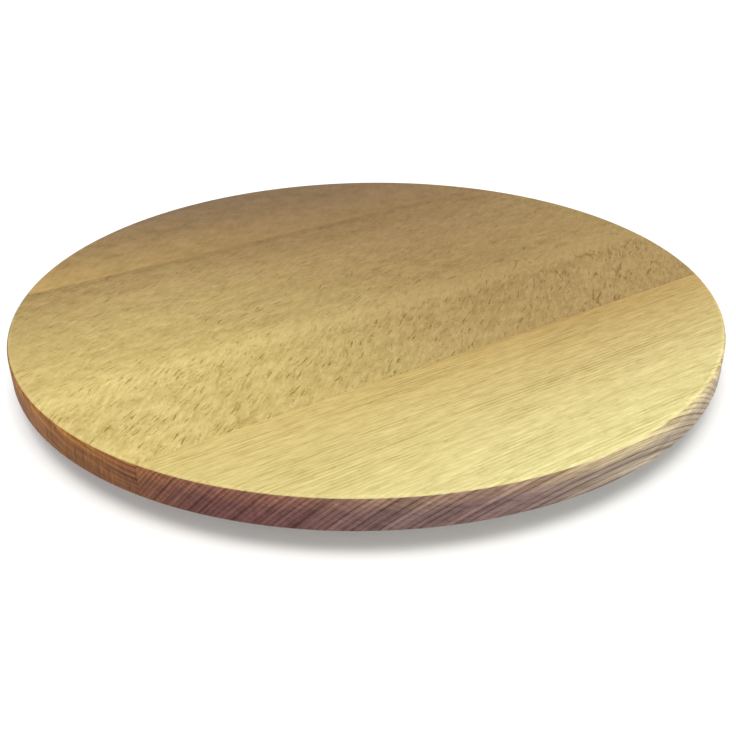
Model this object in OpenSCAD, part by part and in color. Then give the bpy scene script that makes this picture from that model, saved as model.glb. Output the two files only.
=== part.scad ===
// Lazy susan turntable: a round edge-glued beech board that turns on a ring ball bearing.
// Millimetres. +Z is up, the origin is on the table under the turning axis, and the grain runs along X.

/* [Board] */
// Diameter of the board
board_d = 400; // [320:10:500]
// Thickness of the board
board_t = 18; // [16:1:24]
// Size of the eased arris round the board's top and bottom edges
arris_r = 2.5; // [0.5:0.5:3]

/* [Bearing] */
// Outside diameter of the lower ring
ring_d = 250; // [200:10:280]
// Radial width of each aluminium ring
bar_w = 14; // [13:0.5:18]
// Thickness of each ring
ring_t = 8; // [8:0.5:10]
// How far the upper ring stands above the lower one
ring_step = 1; // [0.8:0.1:1.5]
// Diameter of the steel balls
ball_d = 5; // [4.5:0.5:5]
// Spacing of the balls round their circle
ball_pitch = 19; // [12:1:30]
// Radial gap between the two rings
race_gap = 2.4; // [2.2:0.1:3]

/* [Feet] */
// Number of rubber feet
foot_n = 8; // [4:1:12]
// Height of a foot below the lower ring
foot_h = 3; // [2:0.5:6]
// Diameter of a foot where it meets the ring
foot_d = 12; // [10:0.5:12]

/* [Screws] */
// Number of screws that hold the board
screw_n = 6; // [4:1:10]
// Length of a screw over its head
screw_len = 20; // [16:1:22]

/* [Hidden] */
$fn = 96;

cut = 1;            // how far a cutting solid runs past the face it cuts
edge_c = 0.4;       // chamfer on the rings' edges

// Heights, from the table up
lower_z = foot_h;
upper_z = lower_z + ring_step;
board_z = upper_z + ring_t;
ball_z = lower_z + (ring_t + ring_step) / 2;

// Radii, from the outside in
board_r = board_d / 2;
lower_out_r = ring_d / 2;
lower_in_r = lower_out_r - bar_w;
pitch_r = lower_in_r - race_gap / 2;
upper_out_r = lower_in_r - race_gap;
upper_in_r = upper_out_r - bar_w;

// The seams between staves, as shares of the board's radius, from the back to the front
seams = [1.1, 0.535, -0.08, -0.467, -1.1];

// Balls and their cage
ball_r = ball_d / 2;
race_r = ball_r + 0.05;
pocket_r = ball_r + 0.15;
cage_t = race_gap - 1;
ball_n = floor(2 * PI * pitch_r / ball_pitch);
cage_split = 1.2;

// The plug that closes the hole through which the balls go in
plug_r = 3;
plug_turn = 22.5;
plug_clear = 0.05;
plug_in_r = pitch_r + race_r + 0.3;
plug_out_r = lower_out_r - 0.6;
hex_r = 1.7;
hex_deep = 3;

// Feet: a head, and a barbed stem that is pushed through the ring
foot_circle_r = lower_out_r - bar_w / 2 - 0.2;
foot_toe_r = foot_d / 2 - 0.8;
foot_ease = 0.6;
stem_r = 2.4;
barb_r = 3;
barb_seat = 4;      // thickness of ring that the barb grips
stem_clear = 0.1;

// Countersunk wood screws, 4 mm
screw_circle_r = (upper_in_r + upper_out_r) / 2 - 0.6;
head_r = 3.9;
head_h = 2.1;
shank_r = 1.9;
core_r = 1.35;
thread_r = 2;
thread_pitch = 1.8;
thread_from = ring_t;
tip_h = 2.6;
screw_clear = 0.05;
turns = floor((screw_len - thread_from - tip_h) / thread_pitch);
recess_w = 0.9;
recess_r = 2.3;
recess_deep = 1.9;

// A bite out of a profile's corner, opening towards +X and downwards, that eases it in three narrow flats.
module corner_bite(r) {
    difference() {
        translate([0, -cut]) square([r + cut, r + cut]);
        translate([0, r]) circle(r, $fn = 12);
    }
}

// Half of the board's section, with both arrises eased.
module board_profile() {
    difference() {
        square([board_r, board_t]);
        translate([board_r - arris_r, 0]) corner_bite(arris_r);
        translate([board_r - arris_r, board_t]) mirror([0, 1]) corner_bite(arris_r);
    }
}

// The hole that a board screw's thread has cut, blind from below.
module thread_hole() {
    translate([0, 0, -cut]) cylinder(h = screw_len - ring_t + screw_clear + cut, r = thread_r + screw_clear);
}

// Copies of the children, evenly spaced on a circle.
module around(n, r, first = 0) {
    for (i = [0 : n - 1]) rotate(first + i * 360 / n) translate([r, 0, 0]) children();
}

// One stave of the board: the strip between two seams of the round blank.
module stave(i) {
    high = seams[i] * board_r;
    low = seams[i + 1] * board_r;
    translate([0, 0, board_z]) difference() {
        intersection() {
            rotate_extrude() board_profile();
            translate([-board_d, low, -cut]) cube([2 * board_d, high - low, board_t + 2 * cut]);
        }
        around(screw_n, screw_circle_r) thread_hole();
    }
}

// Section of a flat ring with chamfered edges.
module ring_profile(r_in, r_out) {
    polygon([
        [r_in + edge_c, 0], [r_out - edge_c, 0], [r_out, edge_c], [r_out, ring_t - edge_c],
        [r_out - edge_c, ring_t], [r_in + edge_c, ring_t], [r_in, ring_t - edge_c], [r_in, edge_c]
    ]);
}

// A plain ring standing at height z, with its half of the ball race cut in it.
module race_ring(r_in, r_out, z) {
    rotate_extrude() difference() {
        translate([0, z]) ring_profile(r_in, r_out);
        translate([pitch_r, ball_z]) circle(race_r);
    }
}

// A countersunk clearance hole for a board screw, with its wide end down.
module countersunk_hole() {
    wide = head_r + screw_clear;
    narrow = shank_r + 2 * screw_clear;
    translate([0, 0, -cut]) cylinder(h = ring_t + 2 * cut, r = narrow + screw_clear);
    cylinder(h = head_h, r1 = wide, r2 = narrow);
    translate([0, 0, -cut]) cylinder(h = cut, r = wide);
}

module upper_ring() {
    color("gainsboro") difference() {
        race_ring(upper_in_r, upper_out_r, upper_z);
        around(screw_n, screw_circle_r) translate([0, 0, upper_z]) countersunk_hole();
    }
}

// Half of a wood screw's section, with its head's face at height 0 and its point up.
module screw_profile() {
    ridges = [for (k = [0 : turns - 1]) each [
        [core_r, thread_from + (k + 0.1) * thread_pitch],
        [thread_r, thread_from + (k + 0.5) * thread_pitch],
        [core_r, thread_from + (k + 0.9) * thread_pitch]
    ]];
    polygon(concat(
        [[0, 0], [head_r, 0], [shank_r, head_h], [shank_r, thread_from - 0.5]],
        ridges,
        [[core_r, screw_len - tip_h], [0, screw_len]]
    ));
}

// A cross recess that narrows with depth.
module cross_recess() {
    intersection() {
        translate([0, 0, -cut]) cylinder(h = recess_deep + cut, r1 = recess_r + 0.6, r2 = recess_w / 2);
        union() for (a = [0, 90]) rotate(a) translate([-recess_r, -recess_w / 2, -cut])
            cube([2 * recess_r, recess_w, recess_deep + cut]);
    }
}

module board_screw() {
    difference() {
        rotate_extrude() screw_profile();
        rotate(45) cross_recess();
    }
}

module board_screws() {
    color("silver") around(screw_n, screw_circle_r) translate([0, 0, upper_z]) board_screw();
}

module balls() {
    color("lightslategray") around(ball_n, pitch_r) translate([0, 0, ball_z]) sphere(ball_r);
}

// A nylon strip between the rings, with a pocket for each ball and its two ends a small gap apart.
module ball_cage() {
    low = upper_z;
    high = lower_z + ring_t;
    color("ivory") difference() {
        rotate_extrude() translate([pitch_r - cage_t / 2, low]) square([cage_t, high - low]);
        around(ball_n, pitch_r - cage_t) translate([0, 0, ball_z]) rotate([0, 90, 0])
            cylinder(h = 2 * cage_t, r = pocket_r);
        rotate(180 / ball_n) translate([pitch_r - cage_t, -cage_split / 2, low - cut])
            cube([2 * cage_t, cage_split, high - low + 2 * cut]);
    }
}

// The hole for a foot's stem, with a wider seat above for its barb.
module foot_hole() {
    translate([0, 0, -cut]) cylinder(h = ring_t + 2 * cut, r = stem_r + stem_clear);
    translate([0, 0, barb_seat]) cylinder(h = ring_t, r = barb_r + 2 * stem_clear);
}

module lower_ring() {
    color("gainsboro") difference() {
        race_ring(lower_in_r, lower_out_r, lower_z);
        around(foot_n, foot_circle_r) translate([0, 0, lower_z]) foot_hole();
        rotate(plug_turn) translate([pitch_r, 0, ball_z]) rotate([0, 90, 0])
            cylinder(h = bar_w + race_gap, r = plug_r);
    }
}

// A grub screw with a hexagon socket in its outer end.
module ball_plug() {
    color("dimgray") rotate(plug_turn) translate([0, 0, ball_z]) rotate([0, 90, 0]) difference() {
        translate([0, 0, plug_in_r]) cylinder(h = plug_out_r - plug_in_r, r = plug_r - plug_clear);
        translate([0, 0, plug_out_r - hex_deep]) cylinder(h = hex_deep + cut, r = hex_r, $fn = 6);
    }
}

// Half of a foot's section, from its toe on the table to the tip of its stem.
module foot_profile() {
    polygon([
        [0, 0], [foot_toe_r - foot_ease, 0], [foot_toe_r, foot_ease], [foot_d / 2, foot_h], [stem_r, foot_h],
        [stem_r, foot_h + barb_seat + stem_clear], [barb_r, foot_h + barb_seat + stem_clear],
        [barb_r, foot_h + barb_seat + 1], [stem_r - 0.6, foot_h + ring_t - 0.6], [0, foot_h + ring_t - 0.6]
    ]);
}

module foot(i) {
    color("dimgray") rotate(i * 360 / foot_n) translate([foot_circle_r, 0, 0]) rotate_extrude() foot_profile();
}

color("tan") stave(0);  // stave_back
color("burlywood") stave(1);  // stave_middle_back
color("wheat") stave(2);  // stave_middle_front
color("khaki") stave(3);  // stave_front
upper_ring();
board_screws();
balls();
ball_cage();
lower_ring();
ball_plug();
for (i = [1 : foot_n]) foot(i - 1);
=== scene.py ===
"""The looks of a lazy susan turntable: four beech staves on a ring ball bearing with rubber feet.

Metres, in the row frame: +Z is up, the table is at z = 0, and the grain of the board runs along X.
"""

import math

import bmesh
import bpy
from mathutils import Matrix, Vector


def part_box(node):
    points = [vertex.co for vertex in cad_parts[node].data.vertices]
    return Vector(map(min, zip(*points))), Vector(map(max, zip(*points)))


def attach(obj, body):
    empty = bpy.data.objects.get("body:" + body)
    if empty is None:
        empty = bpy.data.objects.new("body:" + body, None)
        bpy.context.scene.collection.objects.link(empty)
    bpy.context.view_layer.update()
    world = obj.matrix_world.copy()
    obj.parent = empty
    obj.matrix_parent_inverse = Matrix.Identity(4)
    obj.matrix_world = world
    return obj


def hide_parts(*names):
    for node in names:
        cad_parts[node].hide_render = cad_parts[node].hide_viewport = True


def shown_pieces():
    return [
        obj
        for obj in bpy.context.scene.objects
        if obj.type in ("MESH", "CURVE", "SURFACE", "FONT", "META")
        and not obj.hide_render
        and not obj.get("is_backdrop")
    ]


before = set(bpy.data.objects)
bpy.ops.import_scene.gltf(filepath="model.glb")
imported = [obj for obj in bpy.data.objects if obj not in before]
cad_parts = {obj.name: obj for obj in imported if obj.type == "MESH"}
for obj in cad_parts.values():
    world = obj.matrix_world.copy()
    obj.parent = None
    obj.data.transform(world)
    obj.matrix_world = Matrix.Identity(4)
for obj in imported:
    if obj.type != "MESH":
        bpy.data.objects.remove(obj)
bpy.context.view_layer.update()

MM = 0.001


def level_points(node, height, within=0.01 * MM):
    """The points of a CAD node's mesh that lie at one height."""
    return [v.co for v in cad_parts[node].data.vertices if abs(v.co.z - height) < within]


# ---------------------------------------------------------------- sizes, from the frame

STAVES = ("stave_back", "stave_middle_back", "stave_middle_front", "stave_front")
FEET = [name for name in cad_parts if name.startswith("foot_")]

BOARD_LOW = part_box("stave_middle_back")[0].z
BOARD_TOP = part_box("stave_middle_back")[1].z
BOARD_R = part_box("stave_middle_back")[1].x
BOARD_MID = (BOARD_LOW + BOARD_TOP) / 2
ARRIS = BOARD_R - max(math.hypot(p.x, p.y) for p in level_points("stave_middle_back", BOARD_TOP))

THREAD_HOLE_R = 2.05 * MM   # a screw's thread, and the room round it
THREAD_HOLE_ROOM = 0.05 * MM
FLOOR_HALF = 6              # from the middle of the floor to its edges

# ---------------------------------------------------------------- the camera's side

CAMERA_TURN = math.radians(-32.5)   # the grain runs this far round from the camera's right
CAMERA_HEIGHT = math.radians(24.52)
CAMERA_DISTANCE = 2.759 * BOARD_R   # from the middle of the board's top
CAMERA_TIP = math.radians(-4.755)   # it aims a little in front of that point
CAMERA_YAW = math.radians(0.07)
CAMERA_ROLL = math.radians(-0.96)
CAMERA_LENS = 45.96


def seen_from_camera(right, away, up):
    """A point given to the right of, away from and above the middle of the table, as the camera sees it."""
    return Matrix.Rotation(CAMERA_TURN, 3, "Z") @ Vector((right, away, up))


# ---------------------------------------------------------------- node trees


class Number:
    """A number that a node tree works out at each point. Arithmetic on it adds Math nodes."""

    def __init__(self, look, socket):
        self.look = look
        self.socket = socket

    def __add__(self, other):
        return self.look.math("ADD", self, other)

    def __sub__(self, other):
        return self.look.math("SUBTRACT", self, other)

    def __mul__(self, other):
        return self.look.math("MULTIPLY", self, other)

    def __truediv__(self, other):
        return self.look.math("DIVIDE", self, other)

    def __rsub__(self, other):
        return self.look.math("SUBTRACT", other, self)


class Look:
    """A material, its coordinates in metres, and short calls that each add a node and return its output."""

    def __init__(self, name):
        self.material = bpy.data.materials.new(name)
        self.material.use_nodes = True
        self.tree = self.material.node_tree
        self.surface = self.tree.nodes["Principled BSDF"]
        split = self.node("SeparateXYZ")
        self.tree.links.new(self.node("TexCoord").outputs["Object"], split.inputs[0])
        self.x, self.y, self.z = (Number(self, socket) for socket in split.outputs)

    def node(self, kind, **settings):
        made = self.tree.nodes.new("ShaderNode" + kind)
        for name, value in settings.items():
            setattr(made, name, value)
        return made

    def put(self, value, socket):
        """Links a number or an output to a socket, or sets a plain value on it."""
        if isinstance(value, Number):
            value = value.socket
        if isinstance(value, bpy.types.NodeSocket):
            self.tree.links.new(value, socket)
        elif socket.type == "RGBA":
            socket.default_value = (*value, 1)
        else:
            socket.default_value = value

    def math(self, operation, *values):
        made = self.node("Math", operation=operation)
        for value, socket in zip(values, made.inputs):
            self.put(value, socket)
        return Number(self, made.outputs[0])

    def join(self, x, y, z):
        made = self.node("CombineXYZ")
        for value, socket in zip((x, y, z), made.inputs):
            self.put(value, socket)
        return made.outputs[0]

    def length(self, x, y, z=0.0):
        made = self.node("VectorMath", operation="LENGTH")
        self.put(self.join(x, y, z), made.inputs[0])
        return Number(self, made.outputs["Value"])

    def noise(self, x, y, z, detail=2.0, roughness=0.5):
        """Noise from 0 to 1, of about one bump to a unit of x, y and z."""
        made = self.node("TexNoise")
        for value, name in ((self.join(x, y, z), "Vector"), (1.0, "Scale"), (detail, "Detail"),
                            (roughness, "Roughness")):
            self.put(value, made.inputs[name])
        return Number(self, made.outputs["Fac"])

    def cells(self, x, y, z):
        """(distance to the middle of the nearest cell, a random number of that cell), a cell to a unit."""
        made = self.node("TexVoronoi")
        self.put(self.join(x, y, z), made.inputs["Vector"])
        self.put(1.0, made.inputs["Scale"])
        split = self.node("SeparateColor")
        self.tree.links.new(made.outputs["Color"], split.inputs[0])
        return Number(self, made.outputs["Distance"]), Number(self, split.outputs[0])

    def random(self, value):
        """A random number from 0 to 1 for each whole value."""
        made = self.node("TexWhiteNoise", noise_dimensions="1D")
        self.put(value, made.inputs["W"])
        return Number(self, made.outputs["Value"])

    def rise(self, value, start, end, low=0.0, high=1.0):
        """A smooth step from low to high as value goes from start to end."""
        made = self.node("MapRange", interpolation_type="SMOOTHSTEP")
        for number, socket in zip((value, start, end, low, high), made.inputs):
            self.put(number, socket)
        return Number(self, made.outputs["Result"])

    def mix(self, share, first, second, blend="MIX"):
        made = self.node("Mix", data_type="RGBA", blend_type=blend)
        for value, socket in zip((share, first, second), (made.inputs[0], made.inputs[6], made.inputs[7])):
            self.put(value, socket)
        return made.outputs[2]

    def bump(self, height, depth):
        """Relief as deep as depth where height goes from 0 to 1."""
        made = self.node("Bump")
        self.put(1.0, made.inputs["Strength"])
        self.put(depth, made.inputs["Distance"])
        self.put(height, made.inputs["Height"])
        return made.outputs["Normal"]

    def finish(self, **sockets):
        """Sets the surface's sockets, named with _ for a space, and returns the material."""
        for name, value in sockets.items():
            self.put(value, self.surface.inputs[name.replace("_", " ")])
        return self.material


# ---------------------------------------------------------------- beech

# The colours of the staves, from the brownest to the palest.
UMBER = (0.16, 0.10, 0.05)
TAN = (0.21, 0.13, 0.05)
CARAMEL = (0.28, 0.19, 0.07)
HONEY = (0.36, 0.24, 0.08)
STRAW = (0.48, 0.38, 0.14)
CREAM = (0.58, 0.52, 0.24)

# A stave's colour is multiplied by a mix of these two, DEEP at tone 0 and LIGHT at tone 1, so that dark
# details are browner.
DEEP = (0.50, 0.44, 0.20)
LIGHT = (1.50, 1.56, 1.80)

# What the rim's colour is multiplied by: the end grain's darker colour, with painted light and shade. From
# the -X end of the grain to the +X end that is RIM_WARM, RIM_DARK, RIM_BLUE, then RIM_PALE, where the fibres
# lie more along the rim, and RIM_BLUE again. Round the rim these also paint shade and light: the rim is
# darkest as painted shade where it faces the camera (RIM_DARK, RIM_BLUE), and lighter as painted light
# towards the -X end (RIM_WARM) and towards the camera's right (RIM_PALE, which also holds a painted bluish
# reflection). RIM_TOP is painted light on the part near the top, and RIM_DEEP and RIM_LIGHT are the dark and
# light streaks.
RIM_DARK = (0.24, 0.12, 0.26)
RIM_BLUE = (0.26, 0.18, 0.36)
RIM_PALE = (0.49, 0.44, 0.68)
RIM_WARM = (0.37, 0.19, 0.15)
RIM_TOP = (1.50, 1.50, 1.15)
RIM_DEEP = (0.35, 0.30, 0.36)
RIM_LIGHT = (1.65, 1.70, 1.64)

# The cells that hold a fleck or a tick each: how long, wide and deep they are.
FLECK_CELL = (13 * MM, 1.4 * MM, 14 * MM)
TICK_CELL = (3.6 * MM, 1.1 * MM, 8 * MM)

# A mark's length along the grain and width across it.
MARK = (3.5 * MM, 1.2 * MM)

# How each stave is sawn and toned. The first four are its colours at its corners. slope is how many degrees
# the growth rings are turned against its face, ring the width of a year's growth, and wander how far the
# rings bend. patch is the size of the mottle, and calm the width of the strip along its back edge in which
# the figure is fainter towards the right. The numbers from clouds to rings say how much each kind of figure
# changes the tone. Flecks are the ends of rays, and lie fleck_turn degrees off the grain. A band runs along
# the grain: (its middle as a share of the board's radius, its half width, how much darker it is, or paler
# where negative). A mark is a small dark spot: (where it is along and across the grain, as shares of the
# radius).
# Besides the wood's own tones, the corner colours hold painted shade: the board darkens towards the back,
# from stave to stave and within most staves.
BEECH = {
    "stave_back": dict(
        back_left=UMBER, back_right=UMBER, front_left=HONEY, front_right=TAN,
        slope=12, ring=3.4 * MM, wander=9 * MM, patch=9 * MM, calm=1 * MM,
        clouds=0.34, mottle=0.7, figure=0.42, streaks=0.10, fibres=0.2,
        flecks=0.05, ticks=0.06, chains=0.0, rings=0.02, fleck_turn=45,
        bands=[(0.80, 12 * MM, 0.04)],
        marks=[]),
    "stave_middle_back": dict(
        back_left=CARAMEL, back_right=TAN, front_left=STRAW, front_right=CARAMEL,
        slope=24, ring=3.2 * MM, wander=5 * MM, patch=8 * MM, calm=1 * MM,
        clouds=0.25, mottle=0.62, figure=0.5, streaks=0.26, fibres=0.12,
        flecks=0.25, ticks=0.17, chains=0.05, rings=0.03, fleck_turn=26,
        bands=[(0.515, 6 * MM, 0.10), (0.42, 10 * MM, 0.04), (-0.02, 8 * MM, 0.06)],
        marks=[(0.01, 0.46), (0.53, 0.27), (0.71, 0.035)]),
    "stave_middle_front": dict(
        back_left=STRAW, back_right=CARAMEL, front_left=STRAW, front_right=CARAMEL,
        slope=6, ring=2.6 * MM, wander=8 * MM, patch=6 * MM, calm=24 * MM,
        clouds=0.25, mottle=0.3, figure=0.88, streaks=0.10, fibres=0.08,
        flecks=0.38, ticks=0.2, chains=0.34, rings=0.02, fleck_turn=42,
        bands=[(-0.125, 13 * MM, -0.08), (-0.205, 5 * MM, 0.05), (-0.463, 0.9 * MM, 0.08)],
        marks=[]),
    "stave_front": dict(
        back_left=STRAW, back_right=HONEY, front_left=CREAM, front_right=CREAM,
        slope=-55, ring=1.7 * MM, wander=1.5 * MM, patch=3.5 * MM, calm=1 * MM,
        clouds=0.1, mottle=0.12, figure=0.13, streaks=0.46, fibres=0.8,
        flecks=0.05, ticks=0.06, chains=0.08, rings=0.24, fleck_turn=3,
        bands=[(-0.692, 0.9 * MM, 0.12), (-0.712, 0.7 * MM, 0.09)],
        marks=[]),
}


class Beech(Look):
    """Solid beech for one stave, so that its rings, rays, fibres and clouds agree on every face.

    seed sets its random figure, and back_y and front_y are where its two long edges lie. What a coordinate
    is multiplied by in noise() is the number of bumps to a metre.
    """

    def __init__(self, name, seed, back_y, front_y, wood):
        super().__init__("beech_" + name)
        self.seed = seed
        self.back_y = back_y
        self.front_y = front_y
        self.wood = wood
        self.right = self.rise(self.x, -1.0 * BOARD_R, 0.45 * BOARD_R)
        self.set_grain()
        self.set_rings()
        self.set_rays()
        self.set_texture()

    def set_grain(self):
        """out is the distance from the heart of the tree, and around the distance round it."""
        slope = math.radians(self.wood["slope"])
        y_in = self.y - (self.back_y + self.front_y) / 2
        z_in = self.z - BOARD_MID
        self.sway = self.noise(self.x * 9, self.y * 28, self.z * 28 + self.seed)
        bent = (self.sway - 0.5) * self.wood["wander"]
        self.out = z_in * math.cos(slope) - y_in * math.sin(slope) + bent
        self.around = y_in * math.cos(slope) + z_in * math.sin(slope)

    def set_rings(self):
        """Growth rings: each year's wood darkens to a thin line, some years more than others."""
        year = self.out / self.wood["ring"] + self.seed * 7.3
        season = self.math("FRACT", year)
        self.late = self.rise(season, 0.50, 0.90) * self.rise(season, 0.92, 1.0, 1.0, 0.0)
        self.rings = self.late * self.rise(self.random(self.math("FLOOR", year)), 0.0, 1.0, 0.3, 1.0)
        self.growth = self.noise(self.x * 6, self.around * 10, self.out * 520 + self.seed, 4, 0.75)

    def set_rays(self):
        """Rays: thin ribbons that run out from the heart and show on the face as short flecks and ticks."""
        x, y, z, out, seed = self.x, self.y, self.z, self.out, self.seed
        turn = math.radians(self.wood["fleck_turn"])
        along = x * math.cos(turn) + self.around * math.sin(turn)
        across = self.around * math.cos(turn) - x * math.sin(turn)
        self.figure = self.noise(along * 110, across * 400, out * 150 + seed, 3, 0.65)
        self.rays = self.noise(x * 40, self.around * 620, out * 70 + seed, 3, 0.65)
        bend = self.noise(x * 20, y * 20, z * 20 + seed)
        wavy = across + (self.figure - 0.5) * (3 * MM) + (bend - 0.5) * (16 * MM)
        crowd = self.noise(x * 24, y * 60, z * 20 + seed * 1.7)
        ragged = (self.noise(x * 650, y * 650, z * 650 + seed, 2, 0.6) - 0.5) * 0.5

        distance, chance = self.ray_cells(along, wavy, FLECK_CELL)
        distance = distance + ragged
        dark = self.rise(distance, 0.10, 0.40, 1.0, 0.0)
        halo = self.rise(distance, 0.32, 0.42) * self.rise(distance, 0.45, 0.6, 0.3, 0.0)
        self.flecks = (dark - halo) * self.rise(chance * 0.7 + crowd, 0.80, 1.0)

        distance, chance = self.ray_cells(along, wavy, TICK_CELL)
        self.ticks = self.rise(distance, 0.15, 0.48, 1.0, 0.0) * self.rise(chance, 0.35, 0.8)

        # long fine lines where a layer of rays just breaks the face
        winding = self.noise(along * 16, across * 60, out * 30 + seed * 2.3, 1)
        path = self.math("ABSOLUTE", winding - 0.5)
        broken = self.rise(self.figure, 0.62, 0.46, 0.2, 1.0) * self.rise(crowd, 0.46, 0.56)
        to_right = self.rise(x, 0.0, 0.5 * BOARD_R, 0.4, 1.0)
        self.chains = self.rise(path, 0.002, 0.02, 1.0, 0.0) * broken * to_right

    def ray_cells(self, along, across, size):
        """Cells of a given length, width and depth, which lie along the rays' cut ends."""
        length, width, depth = size
        return self.cells(along / length, across / width, self.out / depth + self.seed)

    def set_texture(self):
        """Mottle, soft streaks, fine fibres, and busy, which says how strong the figure is."""
        x, around, out, seed = self.x, self.around, self.out, self.seed
        patch = self.wood["patch"]
        self.mottle = self.noise(x / (1.3 * patch), around / patch, out / patch + seed, 4, 0.72)
        self.streaks = self.noise(x * 12, around * 420, out * 420 + seed, 3, 0.7)
        self.fibres = self.noise(x * 85, around * 950, out * 950 + seed, 3, 0.65)
        self.busy = 1.0 - self.rise(self.back_y - self.y, 0.0, self.wood["calm"], 0.7, 0.0) * self.right

    def tone(self):
        """How dark or light the wood is: 0 for DEEP, 1 for LIGHT."""
        wood = self.wood
        clouds = self.noise(self.x * 6, self.y * 26, self.z * 26 + self.seed * 3.1, 3, 0.55)
        come_and_go = self.noise(self.x * 14, self.y * 90, self.z * 90 + self.seed * 0.7)
        tone = (clouds - 0.5) * wood["clouds"] + (self.mottle - 0.5) * wood["mottle"]
        tone = tone + (self.figure - 0.5) * self.busy * wood["figure"]
        tone = tone + (self.streaks - 0.5) * wood["streaks"] + (self.fibres - 0.5) * wood["fibres"] + 0.5
        tone = tone - self.flecks * self.busy * wood["flecks"] - self.ticks * self.busy * wood["ticks"]
        tone = tone - self.chains * wood["chains"]
        tone = tone - self.rings * self.rise(come_and_go, 0.40, 0.60) * wood["rings"]
        for share, half_width, strength in wood["bands"]:
            off = self.math("ABSOLUTE", self.y - share * BOARD_R + (self.sway - 0.5) * (4 * MM))
            inside = self.rise(off, 0.2 * half_width, half_width, 1.0, 0.0)
            tone = tone - inside * self.rise(self.streaks, 0.3, 0.6, 0.6, 1.2) * strength
        for share_x, share_y in wood["marks"]:
            off_x = (self.x - share_x * BOARD_R) / MARK[0]
            off_y = (self.y - share_y * BOARD_R) / MARK[1]
            spot = self.length(off_x, off_y)
            tone = tone - self.rise(spot + (self.fibres - 0.5) * 0.8, 0.3, 1.0, 0.3, 0.0)
        return tone

    def base(self):
        """The stave's colour, blended between the colours at its corners. These hold the wood's own tones and
        also painted shade, darker towards the back of the board.
        """
        back = self.mix(self.right, self.wood["back_left"], self.wood["back_right"])
        front = self.mix(self.right, self.wood["front_left"], self.wood["front_right"])
        return self.mix((self.y - self.back_y) / (self.front_y - self.back_y), back, front)

    def rim_tint(self):
        """What the rim's colour is multiplied by, with its slanting streaks of end grain and painted light
        and shade.
        """
        # Painted shade and light round the rim, beside end grain against long grain: darkest where the rim
        # faces the camera, lighter at both sides, and a painted bluish reflection where it is pale.
        fades = self.rise(self.x, 0.7 * BOARD_R, 0.95 * BOARD_R, 1.0, 0.0)
        pale = self.rise(self.x, -0.34 * BOARD_R, 0.14 * BOARD_R) * fades
        tint = self.mix(self.rise(self.x, -0.75 * BOARD_R, -0.45 * BOARD_R), RIM_DARK, RIM_BLUE)
        tint = self.mix(pale, tint, RIM_PALE)
        tint = self.mix(self.rise(self.x, -1.0 * BOARD_R, -0.78 * BOARD_R, 1.0, 0.0), tint, RIM_WARM)
        # Painted light: the rim is made lighter towards its top.
        near_top = self.rise(self.z, BOARD_TOP - 9 * MM, BOARD_TOP - 2 * MM)
        tint = self.mix(near_top, tint, self.mix(1.0, tint, RIM_TOP, "MULTIPLY"))
        streaky = (self.growth - 0.5) * 2.0 + (self.rays - 0.5) * 0.6 - self.late * 0.30 + 0.60
        return self.mix(1.0, tint, self.mix(streaky, RIM_DEEP, RIM_LIGHT), "MULTIPLY")

    def paint(self):
        """Joins the figure and the rim, and returns the material."""
        reach = self.length(self.x, self.y)
        rim = self.rise(reach, BOARD_R - 0.36 * ARRIS, BOARD_R - 0.22 * ARRIS)
        # The band just inside the top arris is made paler: partly wear, partly a painted highlight along the
        # arris.
        tone = self.tone() + self.rise(reach, BOARD_R - ARRIS, BOARD_R - 0.7 * ARRIS) * 0.10
        colour = self.mix(1.0, self.base(), self.mix(tone, DEEP, LIGHT), "MULTIPLY")
        colour = self.mix(rim, colour, self.mix(1.0, colour, self.rim_tint(), "MULTIPLY"))
        height = self.figure * self.busy * 0.4 + self.mottle * 0.3 + self.fibres * 0.2
        height = height - self.flecks * 0.5 - self.ticks * 0.2 - self.rings * 0.2 + rim * self.growth * 1.5
        return self.finish(Base_Color=colour, Roughness=self.streaks * 0.12 + rim * 0.1 + 0.46,
                           Normal=self.bump(height, 0.25 * MM), Specular_IOR_Level=0.1,
                           Specular_Tint=(1.0, 0.86, 0.62))


# ---------------------------------------------------------------- the board's staves


def half_section():
    """The outer end of the board's section, with both arrises rounded, as (radius, height) pairs."""
    steps = 8
    flat_r = BOARD_R - ARRIS
    low = [(flat_r + ARRIS * math.sin(a), BOARD_LOW + ARRIS * (1 - math.cos(a)))
           for a in (math.pi / 2 * i / steps for i in range(steps + 1))]
    high = [(r, BOARD_LOW + BOARD_TOP - z) for r, z in reversed(low)]
    return [(flat_r - ARRIS / 2, BOARD_LOW), *low, *high, (flat_r - ARRIS / 2, BOARD_TOP)]


def round_blank(bm, steps=720):
    """The whole round board, before it is cut into staves."""
    rows = []
    for r, z in half_section():
        turns = (2 * math.pi * i / steps for i in range(steps))
        rows.append([bm.verts.new((r * math.cos(t), r * math.sin(t), z)) for t in turns])
    for inner, outer in zip(rows, rows[1:]):
        for i in range(steps):
            bm.faces.new((inner[i], inner[(i + 1) % steps], outer[(i + 1) % steps], outer[i]))
    bm.faces.new(rows[-1])
    bm.faces.new(list(reversed(rows[0])))
    bmesh.ops.recalc_face_normals(bm, faces=bm.faces)


def saw(bm, y, keep):
    """Cuts the blank at y, keeps the side that keep points to, and closes the cut."""
    cut = bmesh.ops.bisect_plane(bm, geom=[*bm.verts, *bm.edges, *bm.faces], dist=1e-7, plane_co=(0, y, 0),
                                 plane_no=(0, -keep, 0), clear_outer=True)
    edges = [item for item in cut["geom_cut"] if isinstance(item, bmesh.types.BMEdge)]
    bmesh.ops.contextual_create(bm, geom=edges)


def screw_axes():
    """Where the board's screws stand, from the points at their tips."""
    tips = level_points("board_screws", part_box("board_screws")[1].z)
    return sorted({(round(tip.x, 5), round(tip.y, 5)) for tip in tips})


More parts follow.
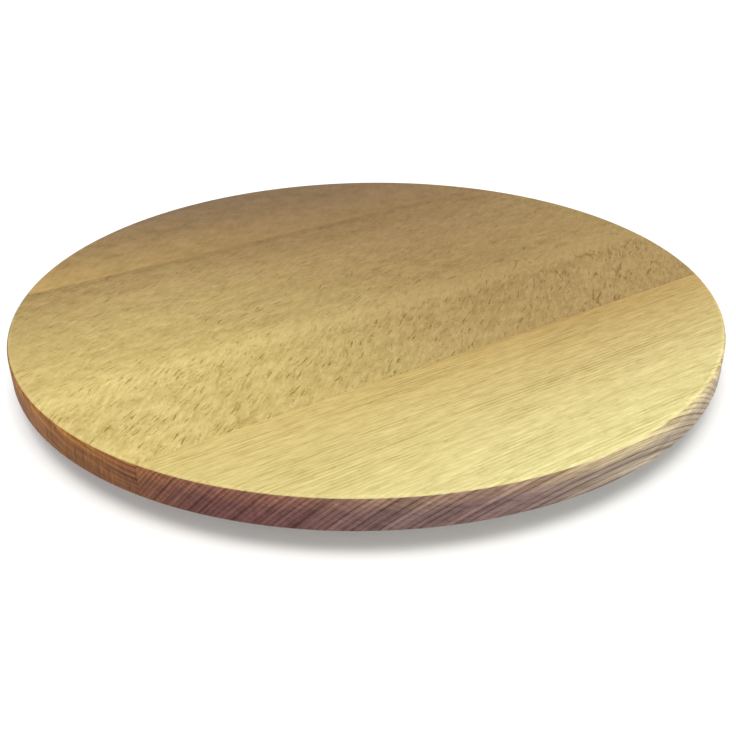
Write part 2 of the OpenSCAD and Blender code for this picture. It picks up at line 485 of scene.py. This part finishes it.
def drill(piece, radius):
    """Blind holes for the screws' threads, up from the underside."""
    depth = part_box("board_screws")[1].z - BOARD_LOW + THREAD_HOLE_ROOM
    bm = bmesh.new()
    for x, y in screw_axes():
        bmesh.ops.create_cone(bm, cap_ends=True, segments=32, radius1=radius, radius2=radius, depth=2 * depth,
                              matrix=Matrix.Translation((x, y, BOARD_LOW)))
    bits = mesh_object("drill_bits", bm)
    holes = piece.modifiers.new("holes", "BOOLEAN")
    holes.object = bits
    holes.solver = "EXACT"
    bpy.context.view_layer.update()
    drilled = bpy.data.meshes.new_from_object(piece.evaluated_get(bpy.context.evaluated_depsgraph_get()))
    piece.modifiers.clear()
    piece.data = drilled
    bpy.data.objects.remove(bits)


def mesh_object(name, bm):
    mesh = bpy.data.meshes.new(name)
    bm.to_mesh(mesh)
    bm.free()
    made = bpy.data.objects.new(name, mesh)
    bpy.context.scene.collection.objects.link(made)
    return made


def make_stave(number, node):
    low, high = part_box(node)
    bm = bmesh.new()
    round_blank(bm)
    if high.y < 0.99 * BOARD_R:
        saw(bm, high.y, -1)
    if low.y > -0.99 * BOARD_R:
        saw(bm, low.y, 1)
    piece = mesh_object("beech_" + node, bm)
    drill(piece, THREAD_HOLE_R)
    piece.data.shade_smooth()
    piece.data.set_sharp_from_angle(angle=math.radians(30))
    piece.data.materials.clear()
    piece.data.materials.append(Beech(node, 11.0 * number + 3, high.y, low.y, BEECH[node]).paint())
    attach(piece, "turntable")
    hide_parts(node)


# ---------------------------------------------------------------- metal, plastic and rubber


def dress(node, material):
    """Gives a CAD node its finished material."""
    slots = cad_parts[node].data.materials
    slots.clear()
    slots.append(material)


def aluminium():
    """Satin anodised aluminium with the fine lines of the lathe round it."""
    look = Look("aluminium_turned")
    reach = look.length(look.x, look.y)
    lap = look.math("ARCTAN2", look.y, look.x) * 3.5
    lines = look.noise(lap, reach * 5000, look.z * 5000, 3, 0.6)
    smears = look.noise(look.x * 70, look.y * 70, look.z * 70, 3)
    colour = look.mix(lines, (0.60, 0.61, 0.62), (0.78, 0.785, 0.79))
    colour = look.mix(look.rise(smears, 0.45, 0.75, 0.0, 0.25), colour, (0.5, 0.5, 0.5))
    roughness = look.rise(lines, 0.2, 0.8, 0.26, 0.42) + look.rise(smears, 0.4, 0.7, 0.0, 0.1)
    return look.finish(Base_Color=colour, Metallic=1.0, Roughness=roughness,
                       Normal=look.bump(lines, 0.01 * MM))


def zinc():
    """Bright zinc plate, a little clouded."""
    look = Look("zinc_plate")
    clouds = look.noise(look.x * 900, look.y * 900, look.z * 900, 3)
    colour = look.mix(clouds, (0.42, 0.44, 0.46), (0.62, 0.60, 0.54))
    return look.finish(Base_Color=colour, Metallic=1.0, Roughness=look.rise(clouds, 0.3, 0.7, 0.22, 0.4),
                       Normal=look.bump(clouds, 0.01 * MM))


def ball_steel():
    """Polished bearing steel under a film of grease."""
    look = Look("ball_steel")
    film = look.noise(look.x * 500, look.y * 500, look.z * 500)
    colour = look.mix(film, (0.58, 0.58, 0.58), (0.70, 0.69, 0.67))
    return look.finish(Base_Color=colour, Metallic=1.0, Roughness=look.rise(film, 0.35, 0.7, 0.06, 0.2))


def nylon():
    """Natural nylon strip."""
    look = Look("nylon")
    grain = look.noise(look.x * 1500, look.y * 1500, look.z * 1500)
    colour = look.mix(grain, (0.72, 0.69, 0.60), (0.82, 0.80, 0.72))
    return look.finish(Base_Color=colour, Roughness=look.rise(grain, 0.3, 0.7, 0.42, 0.55),
                       Normal=look.bump(grain, 0.015 * MM))


def black_steel():
    """Black oxide steel, rubbed paler in places."""
    look = Look("black_oxide")
    wear = look.noise(look.x * 700, look.y * 700, look.z * 700, 4, 0.65)
    colour = look.mix(look.rise(wear, 0.5, 0.75), (0.02, 0.02, 0.022), (0.09, 0.088, 0.085))
    return look.finish(Base_Color=colour, Metallic=0.6, Roughness=look.rise(wear, 0.3, 0.7, 0.35, 0.55),
                       Normal=look.bump(wear, 0.02 * MM))


def rubber():
    """Dark grey rubber with a fine moulded grain and dust on it."""
    look = Look("rubber")
    grain = look.noise(look.x * 2200, look.y * 2200, look.z * 2200, 3, 0.6)
    dust = look.noise(look.x * 260, look.y * 260, look.z * 260, 4, 0.6)
    colour = look.mix(grain, (0.022, 0.022, 0.023), (0.040, 0.039, 0.038))
    colour = look.mix(look.rise(dust, 0.52, 0.8, 0.0, 0.35), colour, (0.16, 0.15, 0.14))
    return look.finish(Base_Color=colour, Roughness=look.rise(dust, 0.3, 0.7, 0.68, 0.88),
                       Normal=look.bump(grain, 0.04 * MM))


# ---------------------------------------------------------------- stage


def make_floor():
    look = Look("floor_paint")
    mottle = look.noise(look.x * 6, look.y * 6, look.z, 3)
    colour = look.mix(mottle, (0.86, 0.86, 0.86), (0.88, 0.88, 0.88))
    look.finish(Base_Color=colour, Roughness=0.75, Specular_IOR_Level=0.1)
    bm = bmesh.new()
    bmesh.ops.create_grid(bm, x_segments=8, y_segments=8, size=FLOOR_HALF)
    floor = mesh_object("floor", bm)
    floor.data.materials.append(look.material)
    floor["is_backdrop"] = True
    return floor


def make_world():
    """A pale horizon, dimmer higher up, so that the rim and the gloss stay soft."""
    world = bpy.data.worlds.new("studio")
    world.use_nodes = True
    nodes, links = world.node_tree.nodes, world.node_tree.links
    split = nodes.new("ShaderNodeSeparateXYZ")
    links.new(nodes.new("ShaderNodeTexCoord").outputs["Generated"], split.inputs[0])
    fade = nodes.new("ShaderNodeMapRange")
    links.new(split.outputs["Z"], fade.inputs["Value"])
    for name, value in (("From Min", 0.12), ("From Max", 0.45), ("To Min", 1.0), ("To Max", 0.45)):
        fade.inputs[name].default_value = value
    sky = nodes["Background"]
    sky.inputs["Color"].default_value = (0.96, 0.98, 1.0, 1)
    links.new(fade.outputs["Result"], sky.inputs["Strength"])
    bpy.context.scene.world = world


def make_lamp(name, kind, place, power, colour, aim=(0, 0, 0)):
    """A lamp at place, turned towards aim, both as seen from the camera. Returns its data."""
    data = bpy.data.lights.new(name, kind)
    data.energy = power
    data.color = colour
    lamp = bpy.data.objects.new(name, data)
    bpy.context.scene.collection.objects.link(lamp)
    lamp.location = seen_from_camera(*place)
    toward = seen_from_camera(*aim) - lamp.location
    lamp.rotation_mode = "QUATERNION"
    lamp.rotation_quaternion = toward.to_track_quat("-Z", "Y")
    return data


def make_lights():
    """Three lamps for the object, then two for the floor. floor_glow sets how grey the shadow is."""
    overhead = make_lamp("overhead", "SUN", place=(0, 0.2, 2), power=2.45, colour=(1.0, 0.98, 0.95))
    overhead.angle = math.radians(100)
    key = make_lamp("key", "AREA", place=(1.1, -0.5, 0.7), power=7.5, colour=(1.0, 0.97, 0.88),
                    aim=(0.1, -0.05, 0))
    key.size = 0.7
    fill = make_lamp("fill", "AREA", place=(-0.7, -0.2, 0.4), power=1.0, colour=(1.0, 0.90, 0.75))
    fill.size = 0.5
    wash = make_lamp("floor_wash", "SUN", place=(0, -0.25, 2), power=2.5, colour=(1.0, 0.97, 0.88))
    wash.angle = math.radians(45)
    glow = make_lamp("floor_glow", "SUN", place=(0, 0.2, 2), power=0.60, colour=(0.62, 0.67, 1.0))
    glow.use_shadow = False


def light_only(lamp, pieces):
    """Keeps a lamp's light to the given pieces, so that the object and the floor are lit apart."""
    lit = bpy.data.collections.new("lit_by_" + lamp)
    for piece in pieces:
        lit.objects.link(piece)
    bpy.data.objects[lamp].light_linking.receiver_collection = lit


def make_camera():
    data = bpy.data.cameras.new("camera")
    data.lens = CAMERA_LENS
    data.sensor_width = 36
    data.clip_start = 0.01
    camera = bpy.data.objects.new("camera", data)
    bpy.context.scene.collection.objects.link(camera)
    camera.matrix_world = (
        Matrix.Translation((0, 0, BOARD_TOP))
        @ Matrix.Rotation(CAMERA_TURN, 4, "Z")
        @ Matrix.Rotation(math.pi / 2 - CAMERA_HEIGHT, 4, "X")
        @ Matrix.Translation((0, 0, CAMERA_DISTANCE))
        @ Matrix.Rotation(-CAMERA_YAW, 4, "Y")
        @ Matrix.Rotation(CAMERA_TIP, 4, "X")
        @ Matrix.Rotation(CAMERA_ROLL, 4, "Z")
    )
    bpy.context.scene.camera = camera


# ---------------------------------------------------------------- the scene

for number, node in enumerate(STAVES):
    make_stave(number, node)

metal = aluminium()
dress("upper_ring", metal)
dress("lower_ring", metal)
dress("board_screws", zinc())
dress("balls", ball_steel())
dress("ball_cage", nylon())
dress("ball_plug", black_steel())
foot_rubber = rubber()
for node in FEET:
    dress(node, foot_rubber)

floor = make_floor()
make_world()
make_lights()
for lamp in ("overhead", "key", "fill"):
    light_only(lamp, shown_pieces())
for lamp in ("floor_wash", "floor_glow"):
    light_only(lamp, [floor])
make_camera()
bpy.context.scene.view_settings.view_transform = "Standard"
